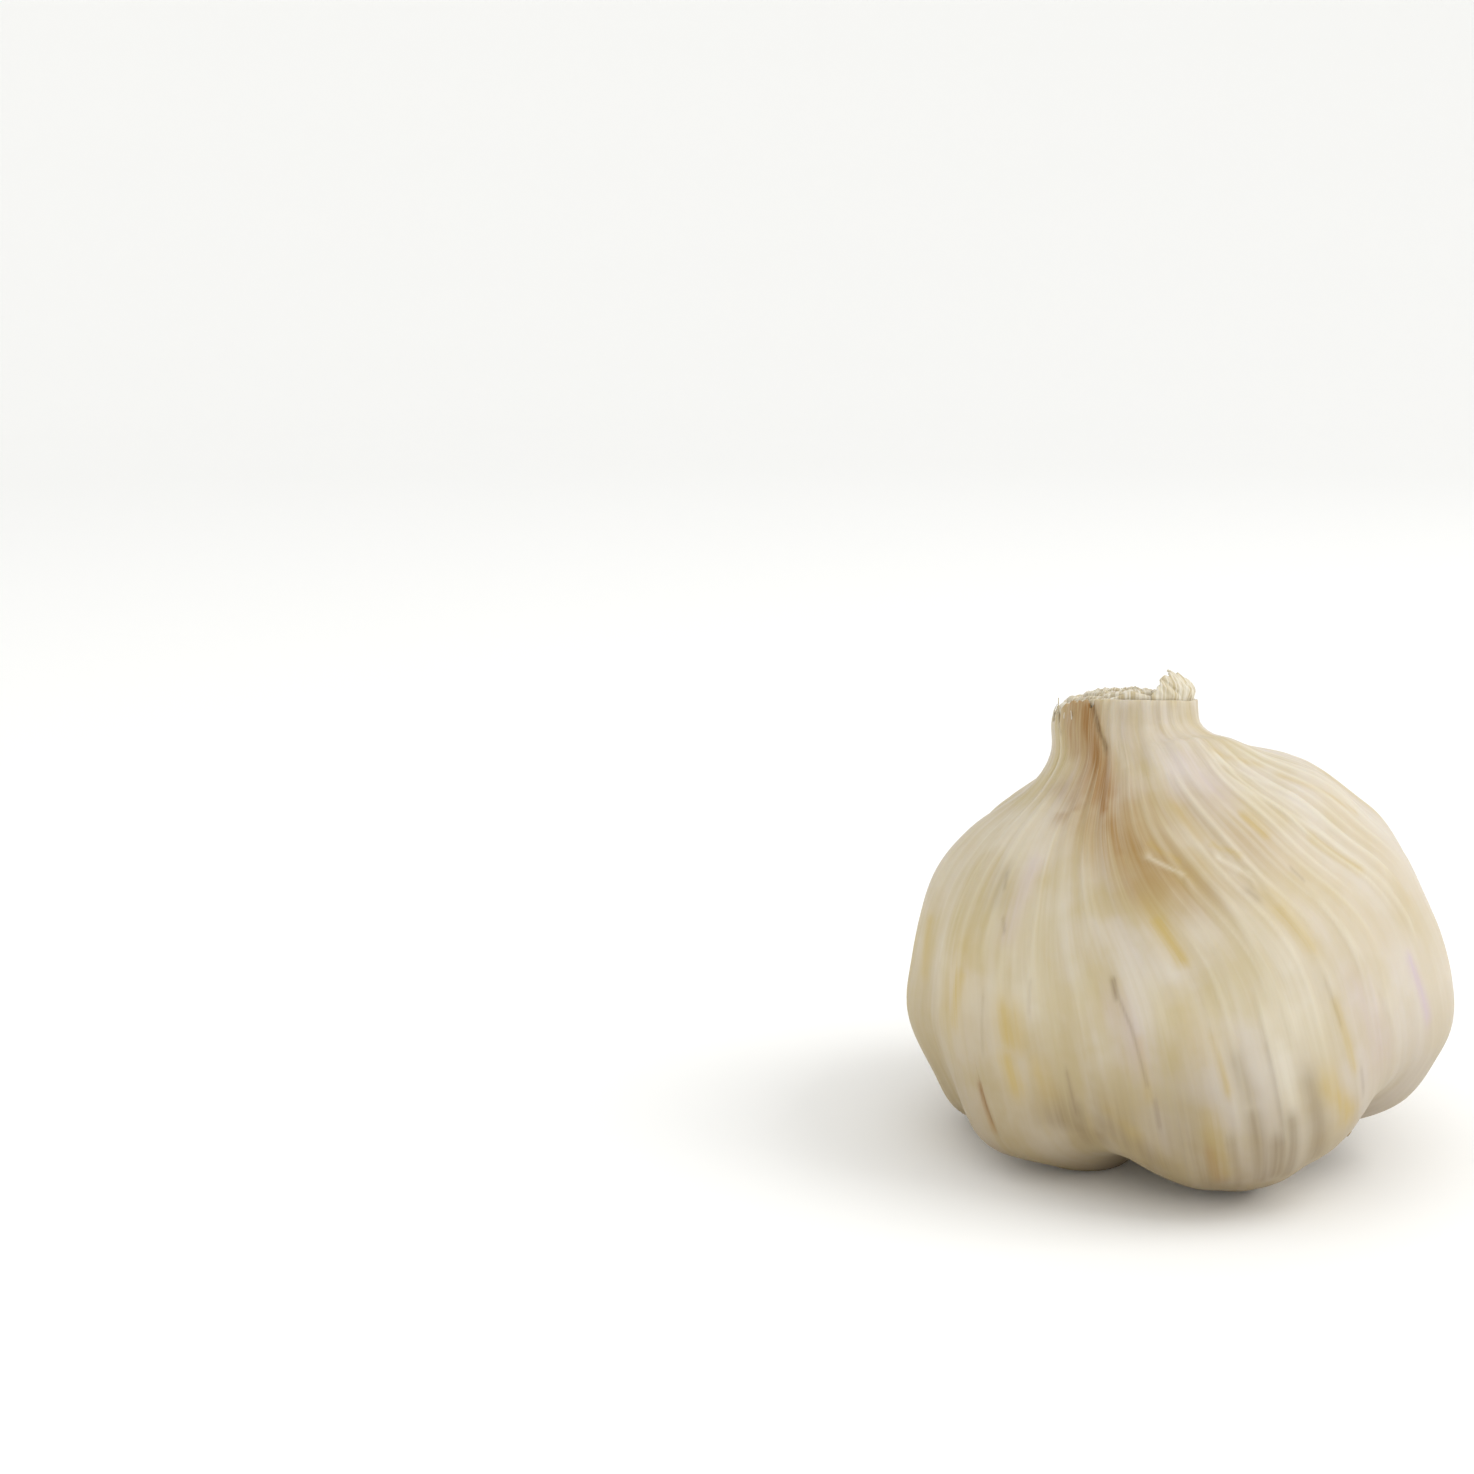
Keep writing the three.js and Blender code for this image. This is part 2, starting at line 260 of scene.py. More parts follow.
# height and width in mm and path of the folds, and of the edges where the skin to their right lies
# on top; a path is a list of angles and places
skinFolds = [
    (0.1, 0.35, [(-88, 8.6), (-79, 8.2)]),
    (0.1, 0.35, [(-70, 8.4), (-64, 8)]),
    (0.05, 0.5, [(-121, 8.8), (-124, 7.6), (-127, 6.7)]),
    (0.05, 0.45, [(-113, 9.6), (-105, 8.4), (-104, 7)]),
    (0.1, 0.5, [(-128, 9), (-131, 7.3)]),
    (0.12, 0.6, [(-85, 9.5), (-73, 8), (-67, 6)]),
    (0.12, 0.6, [(-72, 10), (-62, 8), (-56, 6.3)]),
    (0.12, 0.6, [(-62, 9.6), (-51, 7.7), (-45, 6)]),
    (0.2, 0.5, [(-46, 10), (-33, 9), (-25, 7.4)]),
    (0.2, 0.5, [(-47, 9.3), (-35, 8.3), (-26, 6.6)]),
    (0.18, 0.5, [(-12, 10.2), (-8, 9), (-7, 7.8)]),
    (-0.06, 0.35, [(-100, 6.7), (-98, 6.2), (-97, 5.5)]),
    (-0.2, 0.3, [(-136, 5.5), (-135, 5.1)]),
    (-0.35, 0.28, [(-116, 12.9), (-109, 12), (-104, 11.3)]),
]
skinEdges = [
    (0.16, 3, [(-73, 6), (-73, 5)]),
    (0.1, 2.5, [(-83, 6.2), (-82, 5.2)]),
    (0.08, 2.5, [(-48, 6.7), (-41, 5.5)]),
    (0.08, 2, [(-120, 6.9), (-120, 6.1)]),
]

# ribs that stand out as thin pale lines: angle at the foot, lowest and highest place, height and width
# in mm
ribLines = [
    (-36, 7.2, 10.2, 0.1, 0.24), (-32, 7.6, 9.8, 0.07, 0.2), (-29, 6.8, 10.4, 0.12, 0.26),
    (-25, 7.4, 10, 0.08, 0.2), (-21, 7, 10.5, 0.12, 0.24), (-17, 7.3, 10.2, 0.08, 0.2),
    (-13, 7.2, 10.5, 0.12, 0.24), (-8, 7.6, 10.3, 0.09, 0.22), (-4, 7.2, 10.6, 0.12, 0.24),
    (1, 7.4, 10.3, 0.08, 0.22), (6, 7.2, 10.6, 0.12, 0.24), (11, 7.6, 10.4, 0.09, 0.22),
    (17, 7, 10.2, 0.1, 0.26), (24, 7.3, 10, 0.08, 0.26), (-40, 6.3, 9.4, 0.06, 0.26),
    (-47, 5.6, 9, 0.05, 0.26), (-53, 6.8, 10, 0.06, 0.3), (-61, 5.4, 9.3, 0.06, 0.35),
    (-70, 6, 9.6, 0.06, 0.3), (-79, 5, 7.6, 0.04, 0.3), (-90, 6.4, 8.4, 0.02, 0.3),
    (-98, 7.2, 9.6, 0.03, 0.3), (-108, 5.8, 8.2, 0.03, 0.3), (-118, 7, 9.8, 0.035, 0.28),
    (-126, 6.6, 9.6, 0.03, 0.3), (-133, 7.4, 9.8, 0.04, 0.28), (-139, 6.8, 9.4, 0.04, 0.3),
    (-147, 7, 9.6, 0.04, 0.3), (-158, 7.2, 9.8, 0.06, 0.3), (-170, 7, 9.6, 0.05, 0.3),
    (34, 6.8, 9.8, 0.08, 0.3), (52, 7.2, 10, 0.07, 0.3), (71, 6.6, 9.6, 0.07, 0.3),
    (95, 7, 9.9, 0.07, 0.3), (118, 6.8, 9.6, 0.07, 0.3), (141, 7.2, 9.8, 0.07, 0.3),
    (160, 6.7, 9.5, 0.07, 0.3),
]


def onRibLines(ribs, place, radius):
    # height of the rib lines in mm
    tall = np.zeros(len(place))
    for at, low, high, height, wide in ribLines:
        aside = np.radians((np.degrees(ribs) - at + 180) % 360 - 180) * radius
        ends = within(place, low - 0.3, low + 0.8, high - 0.6, high + 0.3)
        tall = np.maximum(tall, height * ends * np.exp(-((aside / wide) ** 2)))
    return tall


def ridgeStrengths():
    state, strengths = skinShape["ridgeSeed"], []
    for _ in range(skinShape["ridges"]):
        state = state * 16807 % 2147483647
        strengths.append(0.35 + 0.85 * state / 2147483647)
    return np.array(strengths)


def outlineAt(place):
    # a curve through the outline's points: radius, height and the direction away from the skin
    points = np.array(skinShape["outline"], float)
    last = len(points) - 1
    i = np.clip(np.floor(place).astype(int), 0, last - 1)
    w = (place - i)[..., None]
    a, b, c, d = (points[np.clip(i + k, 0, last)] for k in (-1, 0, 1, 2))
    va, vb = (c - a) / 2, (d - b) / 2
    at = (2 * b - 2 * c + va + vb) * w**3 + (3 * c - 3 * b - 2 * va - vb) * w**2 + va * w + b
    along = 3 * (2 * b - 2 * c + va + vb) * w**2 + 2 * (3 * c - 3 * b - 2 * va - vb) * w + va
    along = along / np.linalg.norm(along, axis=-1, keepdims=True)
    return at[..., 0], at[..., 1], along[..., 1], -along[..., 0]


def leanOver(radius, angle, height):
    # the neck bends back upright, then the whole bulb leans to the left
    s = skinShape
    span = s["bendTo"] - s["bendFrom"]
    q = np.clip((height - s["bendFrom"]) / span, 0, 1)
    upright = smoothStep(height, s["bendFrom"], s["bendTo"])
    slope = math.tan(math.radians(s["lean"]))
    carried = slope * (span * (q**3 - q**4 / 2) + np.maximum(height - s["bendTo"], 0))
    flat = radius * np.cos(angle)
    deep = s["depthShare"] - s["neckFlatness"] * smoothStep(height, *s["neckFlatOver"])
    y = radius * np.sin(angle) * deep
    x = flat + s["neckShift"] * smoothStep(height, *s["neckShiftOver"])
    x = x + s["neckAside"] * smoothStep(height, *s["neckAsideOver"]) + carried
    z = height - flat * slope * upright - y * math.tan(math.radians(s["tip"])) * upright**2
    t = math.radians(s["lean"])
    return np.stack([x * math.cos(t) - z * math.sin(t), y, x * math.sin(t) + z * math.cos(t)], -1)


def ribAngle(angle, place):
    # the ribs of the front and right swing to the left as they climb the shoulder into the neck
    d = skinDetail
    middle = (d["swingTurns"][0] + d["swingTurns"][-1]) / 2
    turn = (np.degrees(angle) - middle + 180) % 360 + middle - 180
    aside = within(turn, *d["swingTurns"])
    return angle + math.radians(d["ribSwing"]) * aside * smoothStep(place, *d["swingOver"])


def acrossPath(angle, place, radius, path):
    # mm to the side of a path on the skin, and mm past its ends
    spots = sorted(path, key=lambda spot: spot[1])
    angles, places = [spot[0] for spot in spots], [spot[1] for spot in spots]
    turn = (np.degrees(angle) - np.interp(place, places, angles) + 180) % 360 - 180
    past = np.maximum(places[0] - place, 0) + np.maximum(place - places[-1], 0)
    return np.radians(turn) * radius, past * skinDetail["mmPerPlace"]


def skinRelief(angle, place, radius, height):
    s, d = skinShape, skinDetail
    valleys, cuts = np.array(s["valleys"], float), np.array(s["cuts"], float)
    offsets = (np.degrees(angle)[..., None] - valleys) % 360
    i = offsets.argmin(-1)
    width = (np.roll(valleys, -1) - valleys) % 360
    across = 2 * np.take_along_axis(offsets, i[..., None], -1)[..., 0] / width[i] - 1
    hump = np.cos(np.pi / 2 * across) ** 2
    cut = np.where(across < 0, cuts[i], cuts[(i + 1) % len(cuts)])
    valley = cut * np.abs(np.sin(np.pi / 2 * across)) ** 6
    body = within(place, *s["bodyOver"])
    foot = within(place, *s["footOver"])
    toRight = (0.5 + 0.5 * np.cos(angle)) ** 2
    full = within(height, *s["shoulderOver"])
    out = (np.array(s["bulges"], float)[i] * hump - s["valleyBody"] * valley) * body
    out = out + s["shoulderFull"] * toRight * full
    for turn, at, wide, tall, swell in s["swells"]:
        aside = (np.degrees(angle) - turn + 180) % 360 - 180
        out = out + swell * np.exp(-((aside / wide) ** 2) - ((place - at) / tall) ** 2)
    ribs = ribAngle(angle, place)
    shown = smoothStep(place, *d["shownOver"])
    pleated = smoothStep(place, *d["pleatedOver"])
    for columns, rows, tall, seed in d["lumps"]:
        out = out + tall * shown * (1 - pleated) * streaks(angle, place, columns, rows, seed)
    sway = ribs + d["ribSway"] * np.sin(2 * ribs + 0.5 * place)
    nearest = np.round(sway * s["ridges"] / (2 * np.pi)).astype(int) % s["ridges"]
    # the right shoulder, which fades out 80 degrees (1.4 radians) to each side
    right = np.cos(np.clip(angle + 0.25, -1.4, 1.4) / 1.4 * np.pi / 2) ** 2
    pleats = right * within(place, *d["shoulderOver"])
    ridge = d["ribBody"] * shown * (1 - pleated) + d["ribNeck"] * pleated + d["shoulderPleats"] * pleats
    fine = ridge * ridgeStrengths()[nearest] * np.cos(s["ridges"] * sway)
    for columns, rows, tall, seed in d["crests"]:
        fine = fine + tall * shown * crests(ribs, place, columns, rows, seed)
    columns, rows, tall, seed = d["shoulderCrests"]
    fine = fine + tall * pleats * crests(ribs, place, columns, rows, seed)
    fine = fine + onRibLines(ribs, place, radius)
    for tall, wide, path in skinFolds:
        aside, past = acrossPath(angle, place, radius, path)
        fine = fine + tall * np.exp(-((aside / wide) ** 2) - (past / 1.6) ** 2)
    for tall, wide, path in skinEdges:
        aside, past = acrossPath(angle, place, radius, path)
        slope = np.exp(-np.clip(aside, 0, 90) / wide - (past / 2) ** 2)
        fine = fine + tall * smoothStep(aside, 0, 0.25) * slope
    hang = (np.array(s["feet"], float)[i] * hump - s["valleyFoot"] * valley) * foot
    return out, hang, fine


def skinPoint(angle, place, extra=0.0, inward=0.0):
    radius, height, outR, outH = outlineAt(place)
    out, hang, fine = skinRelief(angle, place, radius, height)
    r = radius + outR * (out + fine + extra) + np.maximum(outR, 0) * hang
    h = height + outH * (out + fine + extra + hang)
    return leanOver(r * (1 - inward), angle, h), fine


# the cut edge of the skin
tornRim = {
    "ragged": 0.2,
    "frayed": (-142, 20, 0.4),  # angle and width in degrees, and mm that the edge drops there
    "low": (-176, 30, 2.6),
    "slit": (-116.5, 2.4, 1.1),
    "calm": (-72, 18, 40),  # angle of the straightest stretch, and degrees to where it ends
    "seed": 21,
}


def tornEdge(angle):
    # how far the edge drops, in mm: ragged, with a slit, a frayed stretch and a lower left end
    r = tornRim
    turn = (np.degrees(angle) + 180) % 360 - 180

    def near(kind):
        middle, wide, _ = r[kind]
        return np.exp(-(((turn - middle + 180) % 360 - 180) / wide) ** 2)

    drop = 0.5 + 0.5 * raggedness(angle, 46, r["seed"]) + 0.3 * raggedness(angle, 150, r["seed"] + 1)
    middle, low, high = r["calm"]
    calm = 0.45 + 0.55 * smoothStep(np.abs(turn - middle), low, high)
    frayed = r["frayed"][2] * (1 + raggedness(angle, 110, r["seed"] + 2))
    lower = r["low"][2] + 0.5 * raggedness(angle, 80, r["seed"] + 3)
    drop = r["ragged"] * drop * calm + near("frayed") * frayed + near("low") * lower
    return drop + r["slit"][2] * near("slit")


# kind of mark, strength, width in mm and path: what the photograph shows on the front and sides
skinMarks = [
    ("rust", 0.95, 1.7, [(-122, 12.7), (-112, 11.2), (-103, 9.8)]),
    ("rust", 1, 0.6, [(-113, 11.6), (-108, 10.6), (-101, 9.5)]),
    ("rust", 0.65, 1.5, [(-138, 12.4), (-128, 11)]),
    ("rust", 0.7, 2.6, [(-133, 12.8), (-120, 11.6), (-107, 10)]),
    ("rust", 0.35, 0.8, [(-150, 12.4), (-145, 12)]),
    ("rust", 0.5, 1, [(-98, 9.3), (-95, 8.8)]),
    ("rust", 0.35, 4, [(-97, 9.3), (-86, 8.4)]),
    ("rust", 0.7, 0.35, [(-136, 5.5), (-135, 5.1)]),
    ("rust", 0.35, 0.6, [(-87, 4.9), (-86, 4.4)]),
    ("pink", 0.55, 2.4, [(-127, 10), (-116, 9.7)]),
    ("pink", 0.75, 1.3, [(-119, 9.5), (-112, 9.6)]),
    ("pink", 1, 2, [(-97, 9.2), (-91, 8.8)]),
    ("pink", 0.85, 1.6, [(-94, 8.8), (-88, 8.5)]),
    ("pink", 0.6, 1.9, [(-88, 8.4), (-84, 8.2)]),
    ("pink", 0.7, 4.5, [(-100, 9.4), (-88, 8.4)]),
    ("pink", 0.5, 4, [(-88, 8.7), (-78, 8)]),
    ("pink", 0.4, 5, [(-76, 9.2), (-60, 8.6)]),
    ("pink", 0.25, 3, [(-84, 12.4), (-80, 10.4)]),
    ("pink", 0.2, 3, [(-62, 12.4), (-64, 10.4)]),
    ("yellow", 0.5, 3.5, [(-139, 7.1), (-144, 6.3)]),
    ("yellow", 0.95, 1.3, [(-139, 6.8), (-142, 6.2)]),
    ("yellow", 0.95, 1.5, [(-125, 6.4), (-125, 6.1)]),
    ("yellow", 0.85, 1.1, [(-127, 5.8), (-126, 5.6)]),
    ("yellow", 0.6, 1.3, [(-120, 5.7), (-119, 5.5)]),
    ("yellow", 0.65, 0.9, [(-164, 7.4), (-162, 6.6)]),
    ("yellow", 0.95, 1.1, [(-88, 7.6), (-85, 7)]),
    ("yellow", 0.5, 2, [(-89, 8), (-86, 7.2)]),
    ("yellow", 0.45, 5, [(-96, 9), (-84, 8.3)]),
    ("yellow", 0.95, 1.1, [(-61, 7.4), (-58, 6.8)]),
    ("yellow", 0.5, 1.8, [(-62, 7.6), (-58, 6.8)]),
    ("yellow", 0.8, 1, [(-55, 8.9), (-53, 8.6)]),
    ("yellow", 0.8, 0.6, [(-86, 8.8), (-80, 8.5)]),
    ("yellow", 0.7, 0.6, [(-69, 8.6), (-64, 8.4)]),
    ("yellow", 0.5, 1.1, [(-75, 9.3), (-71, 8.8)]),
    ("yellow", 0.6, 0.8, [(-39, 8.3), (-33, 7.6)]),
    ("yellow", 0.6, 0.8, [(-26, 9.3), (-14, 8.3)]),
    ("yellow", 0.45, 0.8, [(-44, 10.2), (-28, 9.7)]),
    ("yellow", 0.35, 4.5, [(-56, 8.7), (-50, 8)]),
    ("yellow", 0.35, 4, [(-20, 8.4), (-22, 6.8)]),
    ("yellow", 0.3, 3, [(-45, 7.6), (-40, 6.6)]),
    ("yellow", 0.7, 0.5, [(-83, 6), (-82, 5.5)]),
    ("yellow", 0.6, 0.5, [(-56, 6), (-55, 5.4)]),
    ("yellow", 0.8, 1.4, [(-62, 5.3), (-58, 5)]),
    ("yellow", 0.5, 0.6, [(-97, 6), (-97, 5.5)]),
    ("yellow", 0.45, 1, [(-106, 5.3), (-102, 5.1)]),
    ("yellow", 0.4, 2.5, [(-88, 6.4), (-85, 6)]),
    ("yellow", 0.6, 1.2, [(-86, 5.2), (-85, 4.6)]),
    ("lilac", 0.9, 0.7, [(-31, 6.1), (-29, 5.5)]),
    ("lilac", 0.4, 1, [(-122, 8.7), (-125, 7.5)]),
    ("lilac", 0.35, 2, [(-100, 6.4), (-98, 6)]),
    ("lilac", 0.35, 2, [(-60, 10.1), (-58, 9.4)]),
    ("lilac", 0.35, 2.5, [(-49, 6), (-46, 5.5)]),
    # the first three grey marks are painted shade in the valley between the two front feet
    ("grey", 0.8, 2.4, [(-117, 5.2), (-112, 5)]),
    ("grey", 0.7, 1, [(-113, 5.3), (-113, 4.9)]),
    ("grey", 0.7, 3, [(-106, 5.1), (-99, 4.7)]),
    ("grey", 0.35, 1.5, [(-131, 8.5), (-130, 8.1)]),
    ("grey", 0.5, 4, [(-92, 5.1), (-86, 4.5)]),
    ("grey", 0.6, 1.2, [(-90, 5), (-89, 4.3)]),
    ("grey", 0.7, 0.6, [(-83, 5), (-82, 4.2)]),
    ("grey", 0.8, 0.8, [(-78, 5.2), (-77, 4.3)]),
    ("grey", 0.5, 0.9, [(-79, 5.7), (-78, 5.4)]),
    ("grey", 0.85, 0.9, [(-74, 4.9), (-74, 4.4)]),
    ("grey", 0.7, 0.7, [(-71, 5.1), (-71, 4.3)]),
    ("grey", 0.6, 1, [(-66, 5.4), (-65, 4.5)]),
    ("grey", 0.45, 0.7, [(-66, 7.8), (-65, 7.7)]),
    # the dark lines are painted shade in the skin's slits, creases and torn edges
    ("dark", 1, 0.32, [(-100, 6.8), (-100, 6.6)]),
    ("dark", 0.5, 0.2, [(-100, 6.7), (-98, 6.2), (-97, 5.6)]),
    ("dark", 0.6, 0.2, [(-136, 5.5), (-135, 5.2)]),
    ("dark", 0.4, 0.2, [(-114, 5.7), (-114, 5.3)]),
    ("dark", 0.3, 0.2, [(-131, 6.6), (-133, 5.9)]),
    ("dark", 0.25, 0.2, [(-119, 6.8), (-120, 6.4)]),
    ("dark", 0.25, 0.18, [(-73, 5.8), (-73, 5.1)]),
    ("dark", 0.3, 0.2, [(-57, 6.3), (-56, 5.8)]),
    ("dark", 0.9, 0.2, [(-116, 12.8), (-109, 12), (-104, 11.3)]),
    ("dark", 0.6, 0.28, [(-158, 12.5), (-147, 11.7)]),
    # these dark marks are small specks on the skin
    ("dark", 0.45, 0.24, [(-130, 8.5), (-129, 8.3)]),
    ("dark", 0.45, 0.24, [(-127, 7.8), (-126, 7.6)]),
    ("dark", 0.45, 0.24, [(-52, 8), (-51, 7.8)]),
    ("dark", 0.4, 0.24, [(-96, 5.4), (-96, 5.2)]),
    ("dark", 0.4, 0.24, [(-53, 5.3), (-53, 5.1)]),
    ("pale", 0.7, 0.4, [(-87, 8.6), (-80, 8.3)]),
    ("pale", 0.7, 0.4, [(-69, 8.4), (-64, 8.1)]),
    ("pale", 0.4, 0.4, [(-46, 9.9), (-25, 7.9)]),
    ("pale", 0.4, 0.4, [(-45, 9.3), (-34, 8.2), (-27, 7.1)]),
    ("pale", 0.5, 0.7, [(-70, 5.8), (-70, 5.3)]),
    ("pale", 0.25, 1.6, [(-75, 12.5), (-73, 10.3)]),
    ("pale", 0.25, 1.4, [(-52, 12.5), (-55, 10)]),
    ("pale", 0.35, 0.6, [(-98, 12.8), (-92, 10.4)]),
    ("pale", 0.35, 2, [(-92, 6.7), (-91, 6.3)]),
    ("pale", 0.3, 4, [(-118, 7.9), (-120, 6.9)]),
    ("pale", 0.3, 4, [(-68, 6.5), (-66, 5.9)]),
]

# marks of the same kinds for the sides that the photograph doesn't show
unseenMarks = {
    "from": 15,
    "to": 172,
    "places": (4.6, 9.4),
    "runs": (0.3, 1.1),
    "seed": 31,
    "kinds": [  # kind, count, width in mm and strength
        ("yellow", 13, 1.2, 0.75), ("lilac", 5, 1, 0.6), ("grey", 6, 1.3, 0.5),
        # the dark marks are thin lines of painted shade, as in creases
        ("dark", 9, 0.19, 0.6), ("pale", 8, 0.5, 0.6),
    ],
}

markKinds = ["rust", "yellow", "pink", "grey", "dark", "pale", "lilac"]


def allMarks():
    u = unseenMarks
    luck = np.random.default_rng(u["seed"])
    marks = list(skinMarks)
    for kind, count, width, strength in u["kinds"]:
        for _ in range(count):
            turn = luck.uniform(u["from"], u["to"])
            place = luck.uniform(*u["places"])
            run = luck.uniform(*u["runs"])
            path = [(turn, place), (turn + luck.uniform(-3, 3), place - run)]
            marks.append((kind, strength * luck.uniform(0.6, 1), width * luck.uniform(0.7, 1.4), path))
    return marks


def buildSkin(material):
    d = skinDetail
    # rows follow the outline at even steps, then over the cut edge and down inside the neck
    fine = np.linspace(0, cutPlace, cutPlace * 200 + 1)
    radius, height, _, _ = outlineAt(fine)
    # with closer rows on the shoulder, where folds run across the ribs
    closer = 1 + within(fine, *d["closerRows"])
    run = np.concatenate([[0], np.cumsum(np.hypot(np.diff(radius), np.diff(height)) * closer[1:])])
    places = list(np.interp(np.linspace(0, run[-1], d["rows"]), run, fine))
    extras, inwards = [0.0] * d["rows"], [0.0] * d["rows"]
    for step in range(1, d["rimRows"] + 1):
        around = math.pi * step / (d["rimRows"] + 1)
        places.append(cutPlace + 0.05 * math.sin(around))
        extras.append(-d["wall"] * (0.5 - 0.5 * math.cos(around)))
        inwards.append(0.0)
    for step in range(d["insideRows"]):
        down = step / (d["insideRows"] - 1)
        places.append(cutPlace + (d["pocketPlace"] - cutPlace) * down)
        extras.append(-d["wall"] - d["pocketNarrower"] * down)
        inwards.append(0.0)
    places.append(d["pocketPlace"])
    extras.append(-d["wall"] - d["pocketNarrower"])
    inwards.append(1.0)
    mesh, ring, angle = spinTube(len(places), d["around"], nearer=d["nearer"])
    place = np.array(places)[ring]
    top = smoothStep(place, d["tornFrom"], cutPlace)
    roundRim = 2 * np.maximum(place - cutPlace, 0)
    place = np.minimum(place, cutPlace) - top * tornEdge(angle) / d["mmPerPlaceAtCut"]
    spots, relief = skinPoint(angle, place, np.array(extras)[ring], np.array(inwards)[ring])
    spots[:, 2] += roundRim
    setSpots(mesh, inFrame(spots))
    addVeins(mesh, ribAngle(angle, place), place / cutPlace)
    radius = outlineAt(place)[0]
    tints = {kind: np.zeros(len(place)) for kind in markKinds}
    for kind, strength, width, path in allMarks():
        aside, past = acrossPath(angle, place, radius, path)
        mark = strength * np.exp(-((aside / width) ** 2) - (past / (width * 0.8 + 0.15)) ** 2)
        tints[kind] = np.maximum(tints[kind], mark)
    ribs = onRibLines(ribAngle(angle, place), place, radius)
    tints["pale"] = np.maximum(tints["pale"], d["ribTint"] * ribs)
    # painted highlight and shade: the raised relief is painted paler and its hollows darker
    rise = np.clip(0.5 + relief * 2, 0, 1)
    addTints(mesh, "stainsAndShade", [tints[kind] for kind in ("rust", "yellow", "pink", "grey")])
    addTints(mesh, "lines", [tints["dark"], tints["pale"], tints["lilac"], rise])
    skin = addPiece("bulbSkin", mesh, material)
    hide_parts("bulb")
    return skin


# dry garlic skin: thin leaf sheaths with a satin sheen, cream with a hint of lilac, ribbed from foot to neck
skinFinish = {
    "cream": "#c1b291",
    "blush": "#cdc3b6",
    "straw": "#b9a877",
    "white": "#d5cdbf",
    "rust": "#966e38",
    "yellow": "#bba04e",
    "pink": "#8a663f",
    "grey": "#705a33",
    "dark": "#5c3a14",
    "pale": "#e2dcc9",
    "lilac": "#c1adbe",
    # the foot tint is partly soil and partly painted shade, darker towards the floor
    "foot": "#7b6232",
    "footSoilAndShadeTops": [(0.022, 0.62), (0.004, 0.3)],  # height in metres where it starts, and its most
    "roughness": (0.5, 0.64),
    "fibreBump": 0.12,
}


